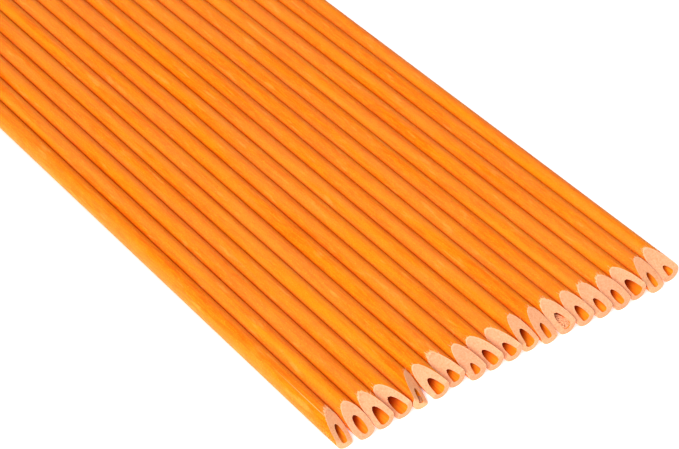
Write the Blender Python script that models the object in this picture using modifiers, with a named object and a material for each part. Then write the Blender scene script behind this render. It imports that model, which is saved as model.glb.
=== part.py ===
"""A set of hollow fibreglass alignment sticks, laid side by side in one flat row.

Every stick is a straight pultruded tube with a slanting saw cut at its tip and a moulded plug pushed into its
blunt end. Units are metres: +X runs towards the tips, +Y across the row, +Z up from the ground it lies on.
"""

import math

import bmesh
import bpy
from mathutils import Matrix

# One stick.
STICK_LENGTH = 1.219
TUBE_DIAMETER = 0.0079
NARROW_BORE = 0.0028
MEDIUM_BORE = 0.0033
WIDE_BORE = 0.0040
BEVEL_LENGTH = 0.0130

# The plug in its blunt end.
HEAD_THICKNESS = 0.0016
HEAD_ROUND = 0.0005
STEM_LENGTH = 0.0100
LEAD_IN = 0.0016
BARB_COUNT = 2
BARB_HEIGHT = 0.0003
BARB_RISE = 0.0010
TIP_TAPER = 0.0004

# Clearances: between neighbours in the row, under the plug's head, round its barbs, and from the rim of its head
# in to the skin of the tube.
ROW_GAP = 0.0003
SEAT_GAP = 0.0003
STEM_GAP = 0.0003
HEAD_INSET = 0.0001

# The saw cut of each stick, counted from the -Y side of the row: how far the stick is rolled about its length in
# degrees, the height of its square nose, its bore, and how far its tip lies behind the foremost one.
CUTS = [
    (-25, 0.0030, MEDIUM_BORE, 0.0005),
    (5, 0.0026, MEDIUM_BORE, 0.0000),
    (20, 0.0042, WIDE_BORE, 0.0005),
    (45, 0.0038, WIDE_BORE, 0.0010),
    (-40, 0.0035, NARROW_BORE, 0.0010),
    (35, 0.0044, WIDE_BORE, 0.0015),
    (35, 0.0045, MEDIUM_BORE, 0.0030),
    (15, 0.0044, NARROW_BORE, 0.0015),
    (40, 0.0036, MEDIUM_BORE, 0.0020),
    (40, 0.0042, MEDIUM_BORE, 0.0020),
    (-5, 0.0042, WIDE_BORE, 0.0025),
    (-10, 0.0032, NARROW_BORE, 0.0015),
    (20, 0.0034, MEDIUM_BORE, 0.0020),
    (15, 0.0038, MEDIUM_BORE, 0.0015),
    (15, 0.0034, NARROW_BORE, 0.0010),
    (15, 0.0030, NARROW_BORE, 0.0005),
    (35, 0.0042, WIDE_BORE, 0.0015),
    (-10, 0.0032, NARROW_BORE, 0.0005),
    (25, 0.0044, NARROW_BORE, 0.0025),
]

# How finely the round pieces are faceted. A multiple of four puts a flat underneath, which the stick rests on,
# and one on each side, towards its neighbours.
TUBE_SIDES = 32
PLUG_SIDES = 16
CORNER_STEPS = 2

PITCH = TUBE_DIAMETER + ROW_GAP
TUBE_RADIUS = TUBE_DIAMETER / 2
TUBE_LENGTH = STICK_LENGTH - HEAD_THICKNESS - SEAT_GAP
REST_HEIGHT = TUBE_RADIUS * math.cos(math.pi / TUBE_SIDES)
FOREMOST_TIP_X = (STICK_LENGTH + max(setback for _, _, _, setback in CUTS)) / 2


def clear_scene():
    """Removes whatever the file holds."""
    for obj in list(bpy.data.objects):
        bpy.data.objects.remove(obj)


def new_collection(name):
    """Makes a collection in the scene."""
    collection = bpy.data.collections.new(name)
    bpy.context.scene.collection.children.link(collection)
    return collection


def new_material(name, colour, roughness):
    """Makes a plain material for one kind of piece."""
    material = bpy.data.materials.new(name)
    material.use_nodes = True
    shader = material.node_tree.nodes["Principled BSDF"]
    shader.inputs["Base Color"].default_value = (*colour, 1.0)
    shader.inputs["Roughness"].default_value = roughness
    shader.inputs["Metallic"].default_value = 0.0
    material.diffuse_color = (*colour, 1.0)
    return material


def new_object(name, mesh, collection, parent=None):
    """Places a mesh in a collection, at its parent's origin."""
    obj = bpy.data.objects.new(name, mesh)
    collection.objects.link(obj)
    obj.parent = parent
    return obj


def open_pipe_mesh(name, radius, length, sides):
    """An open-ended pipe skin along -X from the origin, with a flat facet at the bottom."""
    bm = bmesh.new()
    bmesh.ops.create_cone(bm, segments=sides, radius1=radius, radius2=radius, depth=length)
    half_facet = Matrix.Rotation(math.pi / sides, 4, "Z")
    lie_down = Matrix.Rotation(math.pi / 2, 4, "Y")
    slide_back = Matrix.Translation((-length / 2, 0.0, 0.0))
    bmesh.ops.transform(bm, matrix=slide_back @ lie_down @ half_facet, verts=bm.verts)
    mesh = bpy.data.meshes.new(name)
    bm.to_mesh(mesh)
    bm.free()
    return mesh


def saw_block_mesh(name):
    """A block whose bottom face is the plane of the saw: it runs along X and holds all that the saw takes off."""
    bm = bmesh.new()
    reach = 2 * BEVEL_LENGTH
    stretch = Matrix.Diagonal((2 * reach, 3 * TUBE_DIAMETER, 2 * TUBE_DIAMETER, 1.0))
    raise_up = Matrix.Translation((0.0, 0.0, TUBE_DIAMETER))
    bmesh.ops.create_cube(bm, size=1.0, matrix=raise_up @ stretch)
    mesh = bpy.data.meshes.new(name)
    bm.to_mesh(mesh)
    bm.free()
    return mesh


def corner(centre_x, centre_r, radius, start, end):
    """Points of a rounded corner in the turned profile, as (x, r), from one angle to another in degrees."""
    points = []
    for step in range(CORNER_STEPS + 1):
        angle = math.radians(start + (end - start) * step / CORNER_STEPS)
        points.append((centre_x + radius * math.cos(angle), centre_r + radius * math.sin(angle)))
    return points


def plug_profile(bore):
    """Half section of the plug as (x, r), from the middle of its outer face round to the tip of its stem."""
    head_radius = TUBE_RADIUS - HEAD_INSET
    barb_radius = bore / 2 - STEM_GAP
    root_radius = barb_radius - BARB_HEIGHT
    barb_length = (STEM_LENGTH - LEAD_IN) / BARB_COUNT
    rim = head_radius - HEAD_ROUND
    points = [(0.0, 0.0)]
    points += corner(HEAD_ROUND, rim, HEAD_ROUND, 180, 90)
    points += [(HEAD_THICKNESS, head_radius), (HEAD_THICKNESS, root_radius)]
    for barb in range(BARB_COUNT):
        start = HEAD_THICKNESS + barb * barb_length
        points.append((start + BARB_RISE, barb_radius))
        points.append((start + barb_length, root_radius))
    points.append((HEAD_THICKNESS + STEM_LENGTH, root_radius - TIP_TAPER))
    points.append((HEAD_THICKNESS + STEM_LENGTH, 0.0))
    return points


def plug_mesh(name, bore):
    """The plug's half section as a chain of edges, ready to be turned about X."""
    bm = bmesh.new()
    chain = [bm.verts.new((x, r, 0.0)) for x, r in plug_profile(bore)]
    for near, far in zip(chain, chain[1:]):
        bm.edges.new((near, far))
    mesh = bpy.data.meshes.new(name)
    bm.to_mesh(mesh)
    bm.free()
    return mesh


def apply_and_shade(objects, sides):
    """Turns each object's modifiers into plain mesh, smooths across its facets and keeps its rims and cuts sharp."""
    graph = bpy.context.evaluated_depsgraph_get()
    finished = [bpy.data.meshes.new_from_object(obj.evaluated_get(graph)) for obj in objects]
    for obj, mesh in zip(objects, finished):
        obj.modifiers.clear()
        mesh.name = obj.name
        mesh.shade_smooth()
        mesh.set_sharp_from_angle(angle=1.2 * 2 * math.pi / sides)
        obj.data = mesh


clear_scene()
row = new_collection("alignment_stick_set")
cutters = new_collection("cutters")
cutters.hide_render = True

fibreglass = new_material("orange_fibreglass", (1.0, 0.302, 0.019), 0.42)
polyethylene = new_material("black_polyethylene", (0.022, 0.021, 0.020), 0.48)

pipe = open_pipe_mesh("pipe_skin", TUBE_RADIUS, TUBE_LENGTH, TUBE_SIDES)
pipe.materials.append(fibreglass)
saw_block = saw_block_mesh("saw_block")
plugs = {}
for bore in sorted({bore for _, _, bore, _ in CUTS}):
    plugs[bore] = plug_mesh(f"plug_section_{len(plugs) + 1}", bore)
    plugs[bore].materials.append(polyethylene)

tubes = []
fitted_plugs = []
for index, (roll, nose, bore, setback) in enumerate(CUTS):
    number = f"{index + 1:02d}"

    # The stick's own frame sits at the middle of its tip. Lifting the stick moves this frame.
    stick = new_object(f"stick_{number}", None, row)
    stick.empty_display_size = TUBE_DIAMETER
    across = (index - (len(CUTS) - 1) / 2) * PITCH
    stick.location = (FOREMOST_TIP_X - setback, across, REST_HEIGHT)

    # The tube: a pipe skin thickened inwards to its wall, then sawn across at a slant. The saw leaves a square
    # nose below its plane, and the plane climbs to the top of the tube over the length of the bevel.
    tube = new_object(f"tube_{number}", pipe, row, stick)
    thicken = tube.modifiers.new("wall", "SOLIDIFY")
    thicken.thickness = (TUBE_DIAMETER - bore) / 2
    thicken.offset = -1.0
    thicken.use_even_offset = True

    saw = new_object(f"saw_{number}", saw_block, cutters, stick)
    saw.display_type = "WIRE"
    slant = math.atan((TUBE_DIAMETER - nose) / BEVEL_LENGTH)
    tilt = Matrix.Translation((0.0, 0.0, nose - TUBE_RADIUS)) @ Matrix.Rotation(slant, 4, "Y")
    saw.matrix_local = Matrix.Rotation(math.radians(roll), 4, "X") @ tilt
    cut = tube.modifiers.new("saw_cut", "BOOLEAN")
    cut.operation = "DIFFERENCE"
    cut.solver = "EXACT"
    cut.object = saw

    # The plug: turned about the stick's length, with its head over the blunt end and its barbs in the bore.
    plug = new_object(f"plug_{number}", plugs[bore], row, stick)
    plug.location = (-STICK_LENGTH, 0.0, 0.0)
    turn = plug.modifiers.new("turned", "SCREW")
    turn.axis = "X"
    turn.steps = PLUG_SIDES
    turn.render_steps = PLUG_SIDES
    turn.use_merge_vertices = True
    turn.merge_threshold = 0.00001
    turn.use_normal_flip = True
    tubes.append(tube)
    fitted_plugs.append(plug)

apply_and_shade(tubes, TUBE_SIDES)
apply_and_shade(fitted_plugs, PLUG_SIDES)
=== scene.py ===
"""Nineteen orange fibreglass alignment sticks in a row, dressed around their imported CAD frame."""

import math
import random

import bpy
from mathutils import Matrix, Vector, noise


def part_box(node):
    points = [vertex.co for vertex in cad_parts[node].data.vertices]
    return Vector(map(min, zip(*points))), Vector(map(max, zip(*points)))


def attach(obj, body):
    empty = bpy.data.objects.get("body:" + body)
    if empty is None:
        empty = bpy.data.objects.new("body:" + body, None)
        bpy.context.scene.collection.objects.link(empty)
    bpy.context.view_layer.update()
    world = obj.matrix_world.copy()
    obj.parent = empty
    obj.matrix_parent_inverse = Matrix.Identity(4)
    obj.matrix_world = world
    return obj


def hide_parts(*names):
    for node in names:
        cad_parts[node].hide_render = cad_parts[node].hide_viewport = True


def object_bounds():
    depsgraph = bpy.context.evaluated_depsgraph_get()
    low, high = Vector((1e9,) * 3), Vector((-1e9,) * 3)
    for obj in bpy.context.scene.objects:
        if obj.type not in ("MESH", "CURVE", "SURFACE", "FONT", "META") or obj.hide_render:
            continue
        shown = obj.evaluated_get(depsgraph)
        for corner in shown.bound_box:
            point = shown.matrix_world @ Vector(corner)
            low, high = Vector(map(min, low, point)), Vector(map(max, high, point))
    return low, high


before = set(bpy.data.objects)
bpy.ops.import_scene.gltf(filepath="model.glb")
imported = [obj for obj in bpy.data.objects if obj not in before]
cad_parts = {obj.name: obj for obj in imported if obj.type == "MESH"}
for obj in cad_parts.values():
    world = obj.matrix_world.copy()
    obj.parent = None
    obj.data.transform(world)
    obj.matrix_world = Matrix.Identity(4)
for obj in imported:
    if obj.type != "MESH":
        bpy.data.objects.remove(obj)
cad_low, cad_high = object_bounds()

# ----------------------------------------------------------------------------------------------------------
# The tubes. Glass roving and a veil are pulled through orange polyester resin and a heated die round a
# steel mandrel, which leaves a straight tube with a bore. A saw cuts each tip at a slant down to a square
# nose.

stick_numbers = sorted(name[len("tube_"):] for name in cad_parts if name.startswith("tube_"))

# How finely the mesh follows the tube: corners round it, rings across the sawn wall and the blunt end, and
# rings along it, near the tip and then over the straight part. Ring places are shares of the way.
COLUMNS = 160
WALL_RINGS = (0.0, 0.02, 0.05, 0.1, 0.17, 0.25, 0.34, 0.43, 0.52, 0.61, 0.7, 0.79, 0.87, 0.94, 0.98, 1.0)
BUTT_RINGS = (0.0, 0.04, 0.5, 0.96, 1.0)
NEAR_RINGS = (0.02, 0.05, 0.12, 0.25)
FAR_RINGS = (0.0, 0.02, 0.05, 0.12, 0.25, 0.45, 0.7, 0.97)
STRAIGHT_FROM_TIP_IN_RADII = 5.0

# Which of the CAD solid's faces are the slanted cut, by how far they look along the stick, and how close to
# the lowest x a corner lies on the blunt end.
SLANT_LOOKS_AHEAD = (0.1, 0.9)
AT_BUTT = 0.00001

# The wear and roughness of the cut: lengths in metres, grain in swells a metre.
CREASE_ROUND = 0.0005
EDGE_WEAR = 0.00005
SAW_RELIEF = 0.00006
SLANT_RELIEF_GAIN = 2.5
RELIEF_CEILING = 0.6
FINE_GRAIN = 2200.0
FIBRE_GRAIN = 450.0
FIBRE_SHARE = 0.6

# The torn rim and the chipped mouth: how deep they go, what share of the wall they take in from either
# edge, and the waves they follow, as (swells a radian, seed, share).
TEAR_REACH = 0.0012
TEAR_BASE = 0.3
CHIP_REACH = 0.0005
CHIP_BASE = 0.4
APEX_POWER = 3
RIM_SHARE = 0.05
MOUTH_FROM = 0.87
TEAR_WAVES = ((9.0, 3.0, 1.0), (31.0, 7.0, 0.8))
STICK_STEP = 900.0

# What differs from stick to stick: how ragged the skin is at the back of the cut, how chipped the mouth of
# the bore is, at what angle a pale line is rubbed along the skin, how red the sawn face is, and how much
# paler it is painted, partly as dust and partly as painted fill light on the faces turned away from the soft
# box.
RAGGED = {"01": 0.8, "03": 0.5, "07": 1.0, "13": 0.4, "15": 0.4, "16": 0.4, "19": 0.5}
RAGGED_OTHERS = 0.15
CHIPPED = {"04": 1.0, "07": 0.8, "09": 0.5, "13": 0.9}
CHIPPED_OTHERS = 0.2
RUBBED = {"01": math.radians(110)}
RUB_HALF_WIDTH = 0.03
RUB_END_SLACK = 0.0001
REDDENED = {"08": 0.4, "16": 0.4}
DUST_AND_FILL_LIGHT = {"01": 0.6, "05": 0.85, "11": 0.5, "12": 0.35, "18": 0.55}
DUST_AND_FILL_LIGHT_OTHERS = 0.12
# How far round from each side that lies against a neighbour the skin's painted shade reaches.
GAP_SHADE_REACH = 0.45


def sawn_end(node):
    """Reads the tube's size and the plane of its saw cut off its CAD solid."""
    low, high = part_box(node.name)
    mesh = node.data
    least, most = SLANT_LOOKS_AHEAD
    slanted = [face for face in mesh.polygons if least < face.normal.x < most]
    total = sum(face.area for face in slanted)
    normal = sum((face.normal * face.area for face in slanted), Vector()) / total
    centre = sum((face.center * face.area for face in slanted), Vector()) / total
    axis_y, axis_z = (low.y + high.y) / 2, (low.z + high.z) / 2
    butt = [corner.co for corner in mesh.vertices if corner.co.x < low.x + AT_BUTT]
    return {
        "tip": high.x,
        "butt": low.x,
        "y": axis_y,
        "z": axis_z,
        "radius": (high.y - low.y) / 2,
        "bore": min(math.hypot(co.y - axis_y, co.z - axis_z) for co in butt),
        "normal": normal.normalized(),
        "centre": centre,
        "back": math.atan2(normal.z, normal.y),
    }


def saw_plane_x(end, y, z):
    """Where the saw's slanted plane crosses a line along the stick at this place in its cross-section."""
    rise = end["normal"].y * (y - end["centre"].y) + end["normal"].z * (z - end["centre"].z)
    return end["centre"].x - rise / end["normal"].x


def apex_share(end, angle):
    """1 at the back of the slanted cut, falling to 0 at its sides and all round the nose."""
    return max(0.0, math.cos(angle - end["back"])) ** APEX_POWER


def tear_wave(end, angle):
    """Uneven waves round the tube, which differ from stick to stick."""
    wave = 0.0
    for swells, seed, share in TEAR_WAVES:
        wave += share * noise.noise(Vector((angle * swells, end["y"] * STICK_STEP, seed)))
    return wave


def cut_surface(end, number, angle, inward):
    """A point of the sawn face: angle round the tube, and how far in through its wall."""
    radius = end["radius"] + (end["bore"] - end["radius"]) * inward
    y = end["y"] + radius * math.cos(angle)
    z = end["z"] + radius * math.sin(angle)
    slant, square = saw_plane_x(end, y, z), end["tip"]
    nearer = min(slant, square)
    worn = CREASE_ROUND * math.log1p(math.exp(-abs(slant - square) / CREASE_ROUND))

    # The relief is laid along the stick, so the slanted plane needs more of it than the square nose.
    gain = 1.0 if slant > square else SLANT_RELIEF_GAIN
    spot = Vector((nearer, y, z))
    relief = noise.noise(spot * FINE_GRAIN) + FIBRE_SHARE * noise.noise(spot * FIBRE_GRAIN)
    x = nearer - worn + SAW_RELIEF * gain * min(relief, RELIEF_CEILING)

    # The rim is torn back along the roving at the apex, and the mouth of the bore is chipped.
    apex = apex_share(end, angle)
    rim = max(0.0, 1.0 - inward / RIM_SHARE)
    mouth = max(0.0, (inward - MOUTH_FROM) / (1.0 - MOUTH_FROM))
    wave = tear_wave(end, angle)
    x -= rim * apex * TEAR_REACH * RAGGED.get(number, RAGGED_OTHERS) * max(0.0, TEAR_BASE + wave)
    x -= mouth * (CHIP_BASE + apex) * CHIP_REACH * CHIPPED.get(number, CHIPPED_OTHERS) * abs(wave)
    if inward in (0.0, 1.0):
        x -= EDGE_WEAR
    return (min(x, end["tip"]), y, z)


def tube_rings(end, number):
    """Rings of points over the sawn face, down the bore, over the blunt end and back up the outside.

    Each ring comes with its finish, and each point with how far it lies behind the cut.
    """
    angles = [2 * math.pi * column / COLUMNS for column in range(COLUMNS)]
    rings = []
    finishes = []
    behind = []

    def ring(radius, xs, finish, rim):
        points = []
        for angle, x, (rim_x, _, _) in zip(angles, xs, rim):
            points.append((x, end["y"] + radius * math.cos(angle), end["z"] + radius * math.sin(angle)))
            behind.append(rim_x - x)
        rings.append(points)
        finishes.append(finish)

    def near_ring(radius, share, finish, rim):
        ring(radius, [x + (straight - x) * share for x, _, _ in rim], finish, rim)

    def far_ring(radius, share, finish, rim):
        ring(radius, [straight + (end["butt"] - straight) * share] * COLUMNS, finish, rim)

    for inward in WALL_RINGS:
        rings.append([cut_surface(end, number, angle, inward) for angle in angles])
        finishes.append("face")
        behind.extend([0.0] * COLUMNS)
    outer_rim, inner_rim = rings[0], rings[-1]
    straight = end["tip"] - STRAIGHT_FROM_TIP_IN_RADII * end["radius"]
    for share in NEAR_RINGS:
        near_ring(end["bore"], share, "bore", inner_rim)
    for share in FAR_RINGS:
        far_ring(end["bore"], share, "bore", inner_rim)
    for share in BUTT_RINGS:
        radius = end["bore"] + (end["radius"] - end["bore"]) * share
        worn = EDGE_WEAR if share in (0.0, 1.0) else 0.0
        ring(radius, [end["butt"] + worn] * COLUMNS, "face", outer_rim)
    for share in reversed(FAR_RINGS):
        far_ring(end["radius"], share, "skin", outer_rim)
    for share in reversed(NEAR_RINGS):
        near_ring(end["radius"], share, "skin", outer_rim)
    return rings, finishes, behind


def paint(mesh, name, values):
    """Stores one number for each corner point of the mesh, for its material to read."""
    mesh.attributes.new(name, "FLOAT", "POINT").data.foreach_set("value", values)


def paint_finishes(mesh, end, number, behind):
    """Stores what the tube's finishes go by."""
    wall = end["radius"] - end["bore"]
    rub_ends = end["tip"] - STRAIGHT_FROM_TIP_IN_RADII * end["radius"] - RUB_END_SLACK
    outward = []
    ragged = []
    rubbed = []
    gap_shade = []
    for vertex in mesh.vertices:
        y, z = vertex.co.y - end["y"], vertex.co.z - end["z"]
        angle = math.atan2(z, y)
        outward.append((math.hypot(y, z) - end["bore"]) / wall)
        ragged.append(apex_share(end, angle) * RAGGED.get(number, RAGGED_OTHERS))
        on_line = abs(angle - RUBBED.get(number, math.inf)) < RUB_HALF_WIDTH
        rubbed.append(1.0 if on_line and vertex.co.x > rub_ends else 0.0)
        # The skin is painted darker where sticks lie against each other, as painted shade in the gaps; this
        # leaves out the first one's free side.
        free_side = number == stick_numbers[0] and y < 0
        gap_shade.append(0.0 if free_side else max(0.0, 1.0 - abs(math.sin(angle)) / GAP_SHADE_REACH))
    paint(mesh, "outward", outward)
    paint(mesh, "ragged", ragged)
    paint(mesh, "behind", behind)
    paint(mesh, "rubbed", rubbed)
    paint(mesh, "gap_shade", gap_shade)
    paint(mesh, "tone", [random.Random(int(number)).random()] * len(mesh.vertices))
    paint(mesh, "reddened", [REDDENED.get(number, 0.0)] * len(mesh.vertices))
    paint(mesh, "dust_and_fill_light", [DUST_AND_FILL_LIGHT.get(number, DUST_AND_FILL_LIGHT_OTHERS)] * len(mesh.vertices))


def sawn_tube(end, number):
    """The tube as one closed skin of quads, which keeps a crisp edge wherever two finishes meet."""
    rings, finishes, behind = tube_rings(end, number)
    faces = []
    kinds = []
    for row, finish in enumerate(finishes):
        following = (row + 1) % len(rings)
        # The quads between two rings belong to a sawn face only when both rings lie on it.
        kind = finishes[following] if finish == "face" else finish
        for column in range(COLUMNS):
            beside = (column + 1) % COLUMNS
            faces.append((
                row * COLUMNS + column,
                following * COLUMNS + column,
                following * COLUMNS + beside,
                row * COLUMNS + beside,
            ))
            kinds.append(("skin", "face", "bore").index(kind))

    mesh = bpy.data.meshes.new(f"sawn_tube_{number}")
    mesh.from_pydata([co for points in rings for co in points], [], faces)
    mesh.polygons.foreach_set("material_index", kinds)
    mesh.update()
    mesh.shade_smooth()
    edge_kinds = {}
    for polygon in mesh.polygons:
        for key in polygon.edge_keys:
            edge_kinds.setdefault(key, set()).add(polygon.material_index)
    crisp = mesh.attributes.new("sharp_edge", "BOOLEAN", "EDGE")
    crisp.data.foreach_set("value", [len(edge_kinds[edge.key]) > 1 for edge in mesh.edges])
    paint_finishes(mesh, end, number, behind)
    return mesh


def place(tree, kind, wires=None, **settings):
    """Adds a node, sets its options, and fills its sockets with values or with other nodes' outputs."""
    node = tree.nodes.new(kind)
    for name, value in settings.items():
        setattr(node, name, value)
    for socket, value in (wires or {}).items():
        if isinstance(value, bpy.types.NodeSocket):
            tree.links.new(value, node.inputs[socket])
        else:
            node.inputs[socket].default_value = value
    return node


def object_space(tree):
    """A point's place on the object, in metres."""
    return place(tree, "ShaderNodeTexCoord").outputs["Object"]


def maths(tree, operation, first, second=0.0, third=0.0):
    """One step of arithmetic."""
    return place(tree, "ShaderNodeMath", {0: first, 1: second, 2: third}, operation=operation).outputs[0]


def spread(tree, value, low, high, to_low=0.0, to_high=1.0):
    """Stretches a range of a value onto another, smoothly."""
    wires = {"Value": value, "From Min": low, "From Max": high, "To Min": to_low, "To Max": to_high}
    return place(tree, "ShaderNodeMapRange", wires, interpolation_type="SMOOTHSTEP").outputs["Result"]


def tint(tree, amount, under, over):
    """Lays one colour over another."""
    return place(tree, "ShaderNodeMix", {"Factor": amount, 6: under, 7: over}, data_type="RGBA").outputs[2]


def part_tint(tree, mask, most, under, over):
    """Lays one colour over another where a mask says, but never more than so much of it."""
    return tint(tree, maths(tree, "MULTIPLY", mask, most), under, over)


def painted(tree, name):
    """Reads a number that was stored on the mesh."""
    return place(tree, "ShaderNodeAttribute", attribute_name=name).outputs["Fac"]


def cloudy(tree, where, scale, detail, roughness=0.5):
    """Soft uneven noise at so many swells a metre."""
    wires = {"Vector": where, "Scale": scale, "Detail": detail, "Roughness": roughness}
    return place(tree, "ShaderNodeTexNoise", wires).outputs[0]


def new_group(name, inputs, outputs):
    """A node group with named float inputs and named outputs; returns its tree and its two end nodes."""
    tree = bpy.data.node_groups.new(name, "ShaderNodeTree")
    for label, value in inputs.items():
        socket = tree.interface.new_socket(label, in_out="INPUT", socket_type="NodeSocketFloat")
        socket.default_value = value
    for label in outputs:
        tree.interface.new_socket(label, in_out="OUTPUT", socket_type="NodeSocketFloat")
    return tree, tree.nodes.new("NodeGroupInput"), tree.nodes.new("NodeGroupOutput")


def use_group(tree, group, **values):
    """Places a group in a material, with this material's own values."""
    node = place(tree, "ShaderNodeGroup", node_tree=group)
    for name, value in values.items():
        node.inputs[name.replace("_", " ")].default_value = value
    return node


def new_material(name, specular):
    """An empty material with its shader; returns the material, its tree and its shader."""
    material = bpy.data.materials.new(name)
    material.use_nodes = True
    shader = material.node_tree.nodes["Principled BSDF"]
    shader.inputs["Specular IOR Level"].default_value = specular
    return material, material.node_tree, shader


def feed(tree, shader, **values):
    """Feeds the shader's sockets from nodes' outputs."""
    for name, value in values.items():
        tree.links.new(value, shader.inputs[name.replace("_", " ")])


def raise_bumps(tree, shader, height, strength, distance):
    """Turns a height into the shader's normal."""
    wires = {"Strength": strength, "Distance": distance, "Height": height}
    feed(tree, shader, Normal=place(tree, "ShaderNodeBump", wires).outputs["Normal"])


# The lengthwise roving, as long thin streaks along the pull of the die.
STREAK_FROM = 0.35
STREAK_FULL = 0.65

roving, roving_in, roving_out = new_group(
    "lengthwise_roving",
    {"Threads per metre": 900.0, "Turns per metre": 9.0, "Softness": 0.5},
    ["Streak", "Height"],
)
squeeze = place(roving, "ShaderNodeCombineXYZ", {
    "X": roving_in.outputs["Turns per metre"],
    "Y": roving_in.outputs["Threads per metre"],
    "Z": roving_in.outputs["Threads per metre"],
}).outputs[0]
along = {0: object_space(roving), 1: squeeze}
along = place(roving, "ShaderNodeVectorMath", along, operation="MULTIPLY").outputs[0]
threads = cloudy(roving, along, scale=1.0, detail=4.0, roughness=roving_in.outputs["Softness"])
feed(roving, roving_out, Streak=spread(roving, threads, STREAK_FROM, STREAK_FULL), Height=threads)

# The marks of handling, as sparse specks of grit and short lengthwise rubs.
SPECK_CORE = 0.05
SPECK_EDGE = 0.16
CELLS_WITHOUT_SPECK = 0.86
RUB_STRETCH = (0.16, 1.0, 1.0)
RUB_FROM = 0.58
RUB_FULL = 0.72

handling, handling_in, handling_out = new_group(
    "handling_marks", {"Specks per metre": 420.0, "Rubs per metre": 300.0}, ["Speck", "Rub"]
)
where = object_space(handling)
cells = place(handling, "ShaderNodeTexVoronoi", {
    "Vector": where, "Scale": handling_in.outputs["Specks per metre"], "Randomness": 1.0,
})
chosen = place(handling, "ShaderNodeSeparateColor", {0: cells.outputs["Color"]}).outputs[0]
chosen = maths(handling, "GREATER_THAN", chosen, CELLS_WITHOUT_SPECK)
dot = spread(handling, cells.outputs["Distance"], SPECK_CORE, SPECK_EDGE, to_low=1.0, to_high=0.0)
drag = place(handling, "ShaderNodeVectorMath", {0: where, 1: RUB_STRETCH}, operation="MULTIPLY").outputs[0]
rubs = cloudy(handling, drag, scale=handling_in.outputs["Rubs per metre"], detail=3.0, roughness=0.6)
feed(
    handling, handling_out,
    Speck=maths(handling, "MULTIPLY", dot, chosen), Rub=spread(handling, rubs, RUB_FROM, RUB_FULL),
)

# The skin: a satin surface of orange resin over the veil, with the roving showing faintly through it, and
# pale where the saw tore it off the glass behind the cut.
SKIN_ORANGE = (0.94, 0.215, 0.002, 1.0)
SKIN_DEEP = (0.84, 0.130, 0.001, 1.0)
SKIN_GOLD = (0.95, 0.275, 0.006, 1.0)
GOLD_LEAST = 0.35
GOLD_MOST = 0.85
SKIN_ROSE = (0.94, 0.225, 0.040, 1.0)
ROSE_MOST = 0.4
SKIN_PALE = (0.96, 0.350, 0.060, 1.0)
PALE_MOST = 0.45
SPECK_BROWN = (0.45, 0.09, 0.01, 1.0)
SPECK_MOST = 0.5
BROWN_GRAIN_MOST = 0.45
SPECK_YELLOW = (0.97, 0.36, 0.03, 1.0)
YELLOW_GRAIN_MOST = 0.6
GAP_SHADE_BROWN = (0.42, 0.045, 0.001, 1.0)
GAP_SHADE_MOST = 0.65
TORN_CREAM = (0.88, 0.46, 0.22, 1.0)
RUBBED_MOST = 0.8
TORN_LENGTH = 0.0024
TORN_EDGE = 0.0001
SKIN_SHEEN = (1.0, 0.70, 0.40, 1.0)
GLOW_WEIGHT = 0.25
GLOW_REACH = (0.0016, 0.0003, 0.00005)
SATIN = 0.38
STREAK_ROUGHENS = 0.12
RUB_ROUGHENS = 0.15
TORN_ROUGHENS = 0.3
BROAD_RELIEF = 1.5

skin_material, tree, skin = new_material("orange_fibreglass_skin", specular=0.08)
skin.inputs["Specular Tint"].default_value = SKIN_SHEEN
skin.inputs["Subsurface Weight"].default_value = GLOW_WEIGHT
skin.inputs["Subsurface Radius"].default_value = GLOW_REACH
fine = use_group(tree, roving, Threads_per_metre=1700.0, Turns_per_metre=150.0, Softness=0.65)
broad = use_group(tree, roving, Threads_per_metre=330.0, Turns_per_metre=18.0, Softness=0.5)
tufts = use_group(tree, roving, Threads_per_metre=1500.0, Turns_per_metre=60.0, Softness=0.7)
patch = use_group(tree, roving, Threads_per_metre=160.0, Turns_per_metre=14.0, Softness=0.6)
marks = use_group(tree, handling, Specks_per_metre=360.0, Rubs_per_metre=420.0)
grain = cloudy(tree, object_space(tree), scale=1900.0, detail=3.0, roughness=0.7)
colour = tint(tree, fine.outputs["Streak"], SKIN_ORANGE, SKIN_DEEP)
gold = spread(tree, painted(tree, "tone"), low=0.0, high=1.0, to_low=GOLD_LEAST, to_high=GOLD_MOST)
colour = tint(tree, maths(tree, "MULTIPLY", broad.outputs["Streak"], gold), colour, SKIN_GOLD)
colour = part_tint(tree, patch.outputs["Streak"], ROSE_MOST, colour, SKIN_ROSE)
colour = part_tint(tree, marks.outputs["Rub"], PALE_MOST, colour, SKIN_PALE)
colour = part_tint(tree, marks.outputs["Speck"], SPECK_MOST, colour, SPECK_BROWN)
browner = spread(tree, grain, low=0.5, high=0.75, to_low=0.0, to_high=BROWN_GRAIN_MOST)
colour = tint(tree, browner, colour, SPECK_BROWN)
yellower = spread(tree, grain, low=0.27, high=0.45, to_low=YELLOW_GRAIN_MOST, to_high=0.0)
colour = tint(tree, yellower, colour, SPECK_YELLOW)
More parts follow.
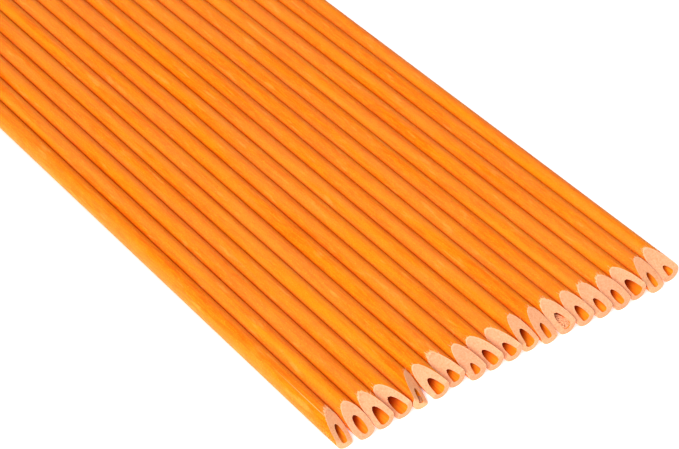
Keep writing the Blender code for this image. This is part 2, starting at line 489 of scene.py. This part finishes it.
# Painted shade: the skin is darkened on the sides that lie against a neighbour.
colour = part_tint(tree, painted(tree, "gap_shade"), GAP_SHADE_MOST, colour, GAP_SHADE_BROWN)
colour = part_tint(tree, painted(tree, "rubbed"), RUBBED_MOST, colour, TORN_CREAM)
reach = spread(tree, tufts.outputs["Height"], low=0.38, high=0.66, to_low=0.0, to_high=TORN_LENGTH)
reach = maths(tree, "MULTIPLY", painted(tree, "ragged"), reach)
torn = maths(tree, "SUBTRACT", reach, painted(tree, "behind"))
torn = spread(tree, torn, low=-TORN_EDGE, high=TORN_EDGE)
colour = tint(tree, torn, colour, TORN_CREAM)
rough = maths(tree, "MULTIPLY_ADD", fine.outputs["Streak"], STREAK_ROUGHENS, SATIN)
rough = maths(tree, "MULTIPLY_ADD", marks.outputs["Rub"], RUB_ROUGHENS, rough)
rough = maths(tree, "MULTIPLY_ADD", torn, TORN_ROUGHENS, rough)
feed(tree, skin, Base_Color=colour, Roughness=rough)
relief = maths(tree, "MULTIPLY_ADD", broad.outputs["Height"], BROAD_RELIEF, fine.outputs["Height"])
raise_bumps(tree, skin, relief, strength=0.35, distance=0.00006)

# The sawn face: bare glass and resin dust, pale and matt, with cream fibre ends along the outer rim and the
# score lines of the saw across it.
FACE_PEACH = (0.74, 0.325, 0.165, 1.0)
FACE_RED = (0.74, 0.270, 0.145, 1.0)
BLOTCH_REDDENS = 0.35
RED_MOST = 0.75
FACE_DUST_AND_FILL_LIGHT = (0.93, 0.435, 0.200, 1.0)
FACE_CREAM = (0.84, 0.460, 0.270, 1.0)
CREAM_GRAIN_MOST = 0.6
CREAM_RIM_MOST = 0.8
RIM_WANDER = 0.12
RESIN_ORANGE = (0.68, 0.205, 0.070, 1.0)
ORANGE_GRAIN_MOST = 0.7
GRAIN_RELIEF = 1.4
SCORE_RELIEF = 0.35

face_material, tree, face = new_material("sawn_fibreglass_face", specular=0.2)
where = object_space(tree)
grain = cloudy(tree, where, scale=1500.0, detail=5.0, roughness=0.75)
blotch = cloudy(tree, where, scale=420.0, detail=3.0)
fibre = use_group(tree, roving, Threads_per_metre=2400.0, Turns_per_metre=300.0, Softness=0.7)
redder = spread(tree, blotch, low=0.35, high=0.65)
redder = maths(tree, "MULTIPLY_ADD", redder, BLOTCH_REDDENS, painted(tree, "reddened"))
colour = part_tint(tree, redder, RED_MOST, FACE_PEACH, FACE_RED)
# Painted fill light as well as dust: some faces, above all those turned away from the soft box, are painted
# paler.
colour = tint(tree, painted(tree, "dust_and_fill_light"), colour, FACE_DUST_AND_FILL_LIGHT)
creamier = spread(tree, grain, low=0.5, high=0.68, to_low=0.0, to_high=CREAM_GRAIN_MOST)
colour = tint(tree, creamier, colour, FACE_CREAM)
oranger = spread(tree, grain, low=0.32, high=0.5, to_low=ORANGE_GRAIN_MOST, to_high=0.0)
colour = tint(tree, oranger, colour, RESIN_ORANGE)
rim = maths(tree, "SUBTRACT", blotch, 0.5)
rim = maths(tree, "MULTIPLY_ADD", rim, RIM_WANDER, painted(tree, "outward"))
rim = spread(tree, rim, low=0.92, high=0.985, to_low=0.0, to_high=CREAM_RIM_MOST)
colour = tint(tree, rim, colour, FACE_CREAM)
rough = spread(tree, grain, low=0.3, high=0.7, to_low=0.72, to_high=0.95)
feed(tree, face, Base_Color=colour, Roughness=rough)
score = place(tree, "ShaderNodeTexWave", {
    "Vector": where, "Scale": 420.0, "Distortion": 2.5, "Detail": 2.0, "Detail Scale": 3.0,
}, wave_type="BANDS", bands_direction="DIAGONAL").outputs["Fac"]
relief = maths(tree, "MULTIPLY", score, SCORE_RELIEF)
relief = maths(tree, "MULTIPLY_ADD", grain, GRAIN_RELIEF, relief)
relief = maths(tree, "ADD", relief, fibre.outputs["Height"])
raise_bumps(tree, face, relief, strength=0.5, distance=0.00008)

# The bore: the resin as the mandrel left it, smooth, with the marks of its slide along the wall. It is
# orange at the mouth and painted darker further in, as painted shade down the bore.
BORE_ORANGE = (0.95, 0.270, 0.012, 1.0)
BORE_STREAK = (0.72, 0.110, 0.004, 1.0)
BORE_STREAK_MOST = 0.6
BORE_SHADE = (0.42, 0.035, 0.002, 1.0)
SHADE_BEGINS = 0.0015
SHADE_FULL = 0.0075

bore_material, tree, bore = new_material("orange_fibreglass_bore", specular=0.06)
slide = use_group(tree, roving, Threads_per_metre=1300.0, Turns_per_metre=60.0, Softness=0.6)
colour = part_tint(tree, slide.outputs["Streak"], BORE_STREAK_MOST, BORE_ORANGE, BORE_STREAK)
# Painted shade: the wall is darkened the further it lies behind the cut.
colour = tint(tree, spread(tree, painted(tree, "behind"), SHADE_BEGINS, SHADE_FULL), colour, BORE_SHADE)
rough = spread(tree, slide.outputs["Height"], low=0.3, high=0.7, to_low=0.35, to_high=0.55)
feed(tree, bore, Base_Color=colour, Roughness=rough)
raise_bumps(tree, bore, slide.outputs["Height"], strength=0.4, distance=0.00006)

ends = {}
for number in stick_numbers:
    ends[number] = sawn_end(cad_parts[f"tube_{number}"])
    tube = bpy.data.objects.new(f"sawn_tube_{number}", sawn_tube(ends[number], number))
    bpy.context.scene.collection.objects.link(tube)
    for material in (skin_material, face_material, bore_material):
        tube.data.materials.append(material)
    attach(tube, f"stick_{number}")
    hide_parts(f"tube_{number}")

# ----------------------------------------------------------------------------------------------------------
# The torn fibres. Where the saw leaves the skin, at the back of the slanted cut, the outermost glass isn't
# cut clean: short stiff slivers stay on the rim, pale with dust. They are part of the tube they stand on.

SLIVERS_AT_MOST = 80
SLIVER_LENGTH = 0.0022
SLIVER_WIDTH = 0.00010
SLIVER_SIDES = 4
SLIVER_TAPER = ((0.0, 1.0), (0.45, 0.8), (0.8, 0.5))
SLIVER_BEND = 0.15
SLIVER_ROOT = 0.0002
ROOT_INWARD = (0.004, 0.05)
SLIVER_SPREAD = 0.45
SIDEWAYS_SPREAD = 0.2
LIFT = (0.02, 0.2)
SLIVER_SEED = 100
SLIVER_CREAM = (0.88, 0.50, 0.27, 1.0)
SLIVER_ORANGE = (0.90, 0.38, 0.12, 1.0)

sliver_material, tree, sliver_shader = new_material("torn_glass_fibre", specular=0.3)
dust = cloudy(tree, object_space(tree), scale=1800.0, detail=3.0)
colour = tint(tree, spread(tree, dust, low=0.4, high=0.62), SLIVER_CREAM, SLIVER_ORANGE)
rough = spread(tree, dust, low=0.3, high=0.7, to_low=0.6, to_high=0.9)
feed(tree, sliver_shader, Base_Color=colour, Roughness=rough)
raise_bumps(tree, sliver_shader, dust, strength=0.3, distance=0.00003)


def sliver(root, direction, length, width, corners, faces):
    """One tapered, slightly bent sliver, added to the lists of corners and faces."""
    side = direction.cross(Vector((0.0, 0.0, 1.0))).normalized()
    up = side.cross(direction).normalized()
    first = len(corners)
    for share, girth in SLIVER_TAPER:
        middle = root + direction * (length * share) + up * (length * SLIVER_BEND * share * share)
        for turn in range(SLIVER_SIDES):
            angle = 2 * math.pi * turn / SLIVER_SIDES
            corners.append(middle + (side * math.cos(angle) + up * math.sin(angle)) * (width * girth / 2))
    corners.append(root + direction * length + up * (length * SLIVER_BEND))
    tip = len(corners) - 1
    last = first + (len(SLIVER_TAPER) - 1) * SLIVER_SIDES
    faces.append([first + turn for turn in reversed(range(SLIVER_SIDES))])
    for low in range(first, last, SLIVER_SIDES):
        high = low + SLIVER_SIDES
        for turn in range(SLIVER_SIDES):
            beside = (turn + 1) % SLIVER_SIDES
            faces.append([low + turn, low + beside, high + beside, high + turn])
    for turn in range(SLIVER_SIDES):
        faces.append([last + turn, last + (turn + 1) % SLIVER_SIDES, tip])


for number, end in ends.items():
    dice = random.Random(SLIVER_SEED + int(number))
    corners = []
    faces = []
    for _ in range(round(SLIVERS_AT_MOST * RAGGED.get(number, RAGGED_OTHERS))):
        angle = end["back"] + dice.gauss(0.0, SLIVER_SPREAD)
        root = Vector(cut_surface(end, number, angle, dice.uniform(*ROOT_INWARD)))
        root.x -= SLIVER_ROOT
        outward_pull = Vector((0.0, math.cos(angle), math.sin(angle)))
        # Most slivers point back over the skin, lifted a little off it; some lean forward over the cut.
        along = dice.choice((-1.0, -1.0, 1.0)) * dice.uniform(0.6, 1.0)
        lean = Vector((along, dice.gauss(0.0, SIDEWAYS_SPREAD), 0.0)) + outward_pull * dice.uniform(*LIFT)
        length = SLIVER_LENGTH * dice.uniform(0.3, 1.0)
        sliver(root, lean.normalized(), length, SLIVER_WIDTH * dice.uniform(0.6, 1.2), corners, faces)
    mesh = bpy.data.meshes.new(f"torn_fibres_{number}")
    mesh.from_pydata(corners, [], faces)
    mesh.shade_smooth()
    mesh.materials.append(sliver_material)
    fibres = bpy.data.objects.new(f"torn_fibres_{number}", mesh)
    bpy.context.scene.collection.objects.link(fibres)
    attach(fibres, f"stick_{number}")

# ----------------------------------------------------------------------------------------------------------
# The saw crumbs. The cut throws chips of glass and resin, and two bores still hold some in their mouths,
# stuck together with resin dust: a heap that fills one, and a browner pinch at the bottom of the other.

CRUMBS = {"13": 420, "05": 80}
HEAP_HEIGHT_IN_BORES = {"13": 0.75, "05": -0.2}
HEAP_FALL_IN_BORES = 1.3
BROWNED = {"13": 0.0, "05": 0.65}
CRUMB_SIZE = 0.00036
CRUMB_SHAPES = 5
SHAPE_SEED_STEP = 3.7
CRUMB_UNEVENNESS = 0.55
CRUMB_SWELLS = 1.7
HEAP_LENGTH = 0.0075
HEAP_UNDER_CUT = 0.0002
HEAP_SEED = 500
CRUMB_PINK = (0.80, 0.310, 0.140, 1.0)
CRUMB_PALE = (0.80, 0.400, 0.210, 1.0)
CRUMB_BROWN = (0.42, 0.110, 0.035, 1.0)

crumb_material, tree, crumb_shader = new_material("saw_crumb", specular=0.2)
dust = cloudy(tree, object_space(tree), scale=2200.0, detail=4.0)
colour = tint(tree, spread(tree, dust, low=0.4, high=0.6), CRUMB_PINK, CRUMB_PALE)
colour = tint(tree, painted(tree, "browned"), colour, CRUMB_BROWN)
rough = spread(tree, dust, low=0.3, high=0.7, to_low=0.75, to_high=0.95)
feed(tree, crumb_shader, Base_Color=colour, Roughness=rough)
raise_bumps(tree, crumb_shader, dust, strength=0.5, distance=0.00006)


def crumb_shape(seed):
    """A broken grain: a ball of few faces, pushed out of round."""
    bpy.ops.mesh.primitive_ico_sphere_add(subdivisions=2, radius=1.0)
    ball = bpy.context.object
    start = Vector((seed, 0.0, 0.0))
    shape = []
    for corner in ball.data.vertices:
        swell = noise.noise(corner.co * CRUMB_SWELLS + start)
        shape.append(corner.co * (1.0 + CRUMB_UNEVENNESS * swell))
    faces = [list(polygon.vertices) for polygon in ball.data.polygons]
    bpy.data.objects.remove(ball)
    return shape, faces


def fill_mouth(end, number):
    """Heaps crumbs in the mouth of the bore: deep at the nose, thinning towards the back of the cut."""
    dice = random.Random(HEAP_SEED)
    shapes = [crumb_shape(seed * SHAPE_SEED_STEP) for seed in range(CRUMB_SHAPES)]
    corners = []
    faces = []
    laid = 0
    while laid < CRUMBS[number]:
        size = CRUMB_SIZE * dice.uniform(0.5, 1.0)
        back = dice.random()
        x = end["tip"] - size - HEAP_LENGTH * back
        away = end["bore"] * math.sqrt(dice.random())
        turn = dice.uniform(0.0, 2 * math.pi)
        y, z = end["y"] + away * math.cos(turn), end["z"] + away * math.sin(turn)
        top = end["z"] + end["bore"] * (HEAP_HEIGHT_IN_BORES[number] - HEAP_FALL_IN_BORES * back)
        if z > top or x > saw_plane_x(end, y, z) - size - HEAP_UNDER_CUT:
            continue
        turned = Matrix.Rotation(dice.uniform(0, 2 * math.pi), 3, "Z")
        tumbled = turned @ Matrix.Rotation(dice.uniform(0, math.pi), 3, "X")
        stretch = Vector((dice.uniform(0.7, 1.3), 1.0, dice.uniform(0.6, 1.0)))
        shape, shape_faces = dice.choice(shapes)
        first = len(corners)
        corners += [Vector((x, y, z)) + (tumbled @ (co * stretch)) * size for co in shape]
        faces += [[first + index for index in one] for one in shape_faces]
        laid += 1
    mesh = bpy.data.meshes.new(f"saw_crumbs_{number}")
    mesh.from_pydata(corners, [], faces)
    mesh.materials.append(crumb_material)
    paint(mesh, "browned", [BROWNED[number]] * len(mesh.vertices))
    return mesh


for number in CRUMBS:
    crumbs = bpy.data.objects.new(f"saw_crumbs_{number}", fill_mouth(ends[number], number))
    bpy.context.scene.collection.objects.link(crumbs)
    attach(crumbs, f"stick_{number}")

# ----------------------------------------------------------------------------------------------------------
# The plugs. Each blunt end is closed by an injection-moulded polyethylene plug: a rounded head with a sunken
# ring and the stub of its gate, and a stem whose barbs grip the bore.

PLUG_COLUMNS = 56
RIM_ROUND = 0.00045
ROUND_STEPS = 6
RING_DEPTH = 0.00022
RING_INSIDE = 0.35
RING_OUTSIDE = 0.72
GATE_RADIUS = 0.00045
GATE_HEIGHT = 0.00012
GATE_PROFILE = ((0.0, 0.7), (0.3, 1.0), (1.0, 1.1))
HEAD_BACK_ROUND = 0.0001
NECK_ROUND = 0.0002
BARB_RISE = (0.05, 0.22)
BARB_FALL = (0.3, 0.95)
BARB_CREST = 0.25
STEM_ROUND = 0.45
SAME_STATION_DECIMALS = 5
HEAD_SHARE = 0.9
CRISP_ANGLE = math.radians(38)
PLUG_BLACK = (0.021, 0.020, 0.019, 1.0)
PLUG_GREY = (0.060, 0.057, 0.054, 1.0)
BLOOM_MOST = 0.5
SCUFF_MOST = 0.5

plug_material, tree, plug_shader = new_material("moulded_polyethylene", specular=0.4)
where = object_space(tree)
scuffs = use_group(tree, handling, Specks_per_metre=900.0, Rubs_per_metre=700.0)
texture = cloudy(tree, where, scale=6000.0, detail=3.0)
bloom = cloudy(tree, where, scale=350.0, detail=4.0)
greyer = spread(tree, bloom, low=0.4, high=0.75, to_low=0.0, to_high=BLOOM_MOST)
colour = tint(tree, greyer, PLUG_BLACK, PLUG_GREY)
colour = part_tint(tree, scuffs.outputs["Rub"], SCUFF_MOST, colour, PLUG_GREY)
rough = spread(tree, bloom, low=0.3, high=0.7, to_low=0.42, to_high=0.62)
feed(tree, plug_shader, Base_Color=colour, Roughness=rough)
raise_bumps(tree, plug_shader, texture, strength=0.3, distance=0.00003)


def arc(centre_x, centre_r, radius, start, stop):
    """Points along a rounded edge of the half section, from one angle to another in degrees."""
    points = []
    for step in range(ROUND_STEPS + 1):
        angle = math.radians(start + (stop - start) * step / ROUND_STEPS)
        points.append((centre_x + radius * math.cos(angle), centre_r + radius * math.sin(angle)))
    return points


def plug_section(head_radius, head, root, barb, stem, barb_starts, barb_length):
    """Half section as (x, r) from the middle of the outer face to the middle of the stem's end."""
    ring_in, ring_out = RING_INSIDE * head_radius, RING_OUTSIDE * head_radius
    points = [(0.0, 0.0)]
    points += [(GATE_HEIGHT * depth, GATE_RADIUS * reach) for depth, reach in GATE_PROFILE]
    points += [(GATE_HEIGHT, ring_in), (GATE_HEIGHT + RING_DEPTH, ring_in + RING_DEPTH)]
    points += [(GATE_HEIGHT + RING_DEPTH, ring_out - RING_DEPTH), (GATE_HEIGHT, ring_out)]
    points += arc(RIM_ROUND, head_radius - RIM_ROUND, RIM_ROUND, 180, 90)
    points += [(head - HEAD_BACK_ROUND, head_radius), (head, head_radius - HEAD_BACK_ROUND)]
    points += [(head, root + NECK_ROUND), (head + NECK_ROUND, root)]
    for start in barb_starts:
        points += [(start + BARB_RISE[0] * barb_length, root), (start + BARB_RISE[1] * barb_length, barb)]
        points += [(start + BARB_FALL[0] * barb_length, barb), (start + BARB_FALL[1] * barb_length, root)]
    points += arc(stem - STEM_ROUND * root, STEM_ROUND * root, STEM_ROUND * root, 60, 0)
    points += [(stem, 0.0)]
    return points


def fitted_section(node, low, axis_y, axis_z, head_radius):
    """The half section that follows this plug's own CAD solid, read off its corners."""
    stations = {}
    for corner in node.data.vertices:
        station = round(corner.co.x - low.x, SAME_STATION_DECIMALS)
        reach = math.hypot(corner.co.y - axis_y, corner.co.z - axis_z)
        stations[station] = max(reach, stations.get(station, 0.0))
    head = max(station for station, reach in stations.items() if reach > HEAD_SHARE * head_radius)
    stem = max(stations)
    along_stem = [station for station, reach in stations.items() if head < station < stem and reach > 0.0]
    along_stem.sort()
    barb = max(stations[station] for station in along_stem)
    root = min(stations[station] for station in along_stem)
    crests = [station for station in along_stem if stations[station] > (barb + root) / 2]
    barb_length = crests[1] - crests[0]
    barb_starts = [crest - BARB_CREST * barb_length for crest in crests]
    return plug_section(head_radius, head, root, barb, stem, barb_starts, barb_length)


for number in stick_numbers:
    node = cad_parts[f"plug_{number}"]
    low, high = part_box(node.name)
    axis_y, axis_z = (low.y + high.y) / 2, (low.z + high.z) / 2
    section = fitted_section(node, low, axis_y, axis_z, head_radius=(high.y - low.y) / 2)
    corners = [Vector((low.x + section[0][0], axis_y, axis_z))]
    for x, reach in section[1:-1]:
        for column in range(PLUG_COLUMNS):
            angle = 2 * math.pi * column / PLUG_COLUMNS
            y, z = axis_y + reach * math.cos(angle), axis_z + reach * math.sin(angle)
            corners.append(Vector((low.x + x, y, z)))
    corners.append(Vector((low.x + section[-1][0], axis_y, axis_z)))
    faces = []
    last = 1 + (len(section) - 3) * PLUG_COLUMNS
    for column in range(PLUG_COLUMNS):
        beside = (column + 1) % PLUG_COLUMNS
        faces.append((0, 1 + column, 1 + beside))
        for near in range(1, last, PLUG_COLUMNS):
            far = near + PLUG_COLUMNS
            faces.append((near + column, far + column, far + beside, near + beside))
        faces.append((last + column, len(corners) - 1, last + beside))
    mesh = bpy.data.meshes.new(f"moulded_plug_{number}")
    mesh.from_pydata(corners, [], faces)
    mesh.shade_smooth()
    mesh.set_sharp_from_angle(angle=CRISP_ANGLE)
    mesh.materials.append(plug_material)
    plug = bpy.data.objects.new(f"moulded_plug_{number}", mesh)
    bpy.context.scene.collection.objects.link(plug)
    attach(plug, f"stick_{number}")
    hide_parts(f"plug_{number}")

# ----------------------------------------------------------------------------------------------------------
# The table. The sticks lie on a sheet of white acrylic, lit a little from below. The light stops a little
# way in under the row, so that the gaps between the sticks stay dark.

FLOOR_SIZE = 40.0
FLOOR_DROP = 0.00002
FLOOR_WHITE = (0.93, 0.93, 0.93, 1.0)
FLOOR_SHADE = (0.90, 0.90, 0.90, 1.0)
FLOOR_UNLIT = (0.0, 0.0, 0.0, 1.0)
FLOOR_GLOW = 0.5
GLOW_BEHIND_TIPS = (0.012, 0.004)
GLOW_PAST_BUTTS = 0.002
GLOW_BESIDE = (0.002, 0.001)

half, level = FLOOR_SIZE / 2, cad_low.z - FLOOR_DROP
corners = [(-half, -half, level), (half, -half, level), (half, half, level), (-half, half, level)]
floor_mesh = bpy.data.meshes.new("acrylic_table")
floor_mesh.from_pydata(corners, [], [(0, 1, 2, 3)])
floor = bpy.data.objects.new("acrylic_table", floor_mesh)
bpy.context.scene.collection.objects.link(floor)
floor_material, tree, acrylic = new_material("white_acrylic", specular=0.2)
where = object_space(tree)
cloud = cloudy(tree, where, scale=60.0, detail=5.0)
colour = tint(tree, spread(tree, cloud, low=0.3, high=0.7), FLOOR_WHITE, FLOOR_SHADE)
rough = spread(tree, cloud, low=0.3, high=0.7, to_low=0.8, to_high=0.9)
spot = place(tree, "ShaderNodeSeparateXYZ", {0: where}).outputs
ahead = spread(tree, spot["X"], cad_high.x - GLOW_BEHIND_TIPS[0], cad_high.x - GLOW_BEHIND_TIPS[1])
past = spread(
    tree, spot["X"], cad_low.x - GLOW_PAST_BUTTS, cad_low.x + GLOW_PAST_BUTTS, to_low=1.0, to_high=0.0
)
sideways = maths(tree, "ABSOLUTE", spot["Y"])
beside = spread(tree, sideways, cad_high.y - GLOW_BESIDE[0], cad_high.y + GLOW_BESIDE[1])
clear = maths(tree, "MAXIMUM", beside, maths(tree, "MAXIMUM", ahead, past))
glow = tint(tree, clear, FLOOR_UNLIT, FLOOR_WHITE)
feed(tree, acrylic, Base_Color=colour, Roughness=rough, Emission_Color=glow)
acrylic.inputs["Emission Strength"].default_value = FLOOR_GLOW
floor_mesh.materials.append(floor_material)

# ----------------------------------------------------------------------------------------------------------
# The studio: white surroundings, a soft box above the near side of the tips, and a camera that looks down on
# the tips from the near side.

SURROUNDINGS_WHITE = (1.0, 1.0, 1.0, 1.0)
SURROUNDINGS_GLOW = 0.5
SOFT_BOX_PLACE = Vector((0.60, -1.12, 1.02))
SOFT_BOX_SIZE = (1.5, 1.0)
SOFT_BOX_WATTS = 38.5

world = bpy.data.worlds.new("white_studio")
world.use_nodes = True
background = world.node_tree.nodes["Background"]
background.inputs["Color"].default_value = SURROUNDINGS_WHITE
background.inputs["Strength"].default_value = SURROUNDINGS_GLOW
bpy.context.scene.world = world

tips = Vector((max(end["tip"] for end in ends.values()), 0.0, 0.0))
soft_box = bpy.data.lights.new("soft_box", "AREA")
soft_box.shape = "RECTANGLE"
soft_box.size, soft_box.size_y = SOFT_BOX_SIZE
soft_box.energy = SOFT_BOX_WATTS
lamp = bpy.data.objects.new("soft_box", soft_box)
lamp.location = tips + SOFT_BOX_PLACE
lamp.rotation_euler = (-SOFT_BOX_PLACE).to_track_quat("-Z", "Y").to_euler()
bpy.context.scene.collection.objects.link(lamp)

CAMERA_TURN = math.radians(55.38)
CAMERA_RISE = math.radians(37.83)
CAMERA_TILT = math.radians(-1.37)
CAMERA_DISTANCE = 0.9565
CAMERA_AIM = Vector((-0.1028, -0.0037, 0.0))
LENS = 133.67
SENSOR_WIDTH = 36.0
NEAREST_SEEN = 0.01

level_right = Vector((math.cos(CAMERA_TURN), math.sin(CAMERA_TURN), 0.0))
backward = Vector((
    math.sin(CAMERA_TURN) * math.cos(CAMERA_RISE),
    -math.cos(CAMERA_TURN) * math.cos(CAMERA_RISE),
    math.sin(CAMERA_RISE),
))
level_up = backward.cross(level_right)
right = level_right * math.cos(CAMERA_TILT) + level_up * math.sin(CAMERA_TILT)
up = level_up * math.cos(CAMERA_TILT) - level_right * math.sin(CAMERA_TILT)
camera = bpy.data.objects.new("camera", bpy.data.cameras.new("camera"))
camera.data.lens = LENS
camera.data.sensor_width = SENSOR_WIDTH
camera.data.clip_start = NEAREST_SEEN
facing = Matrix((right, up, backward)).transposed().to_4x4()
camera.matrix_world = Matrix.Translation(tips + CAMERA_AIM + backward * CAMERA_DISTANCE) @ facing
bpy.context.scene.collection.objects.link(camera)
bpy.context.scene.camera = camera
bpy.context.scene.view_settings.view_transform = "Standard"
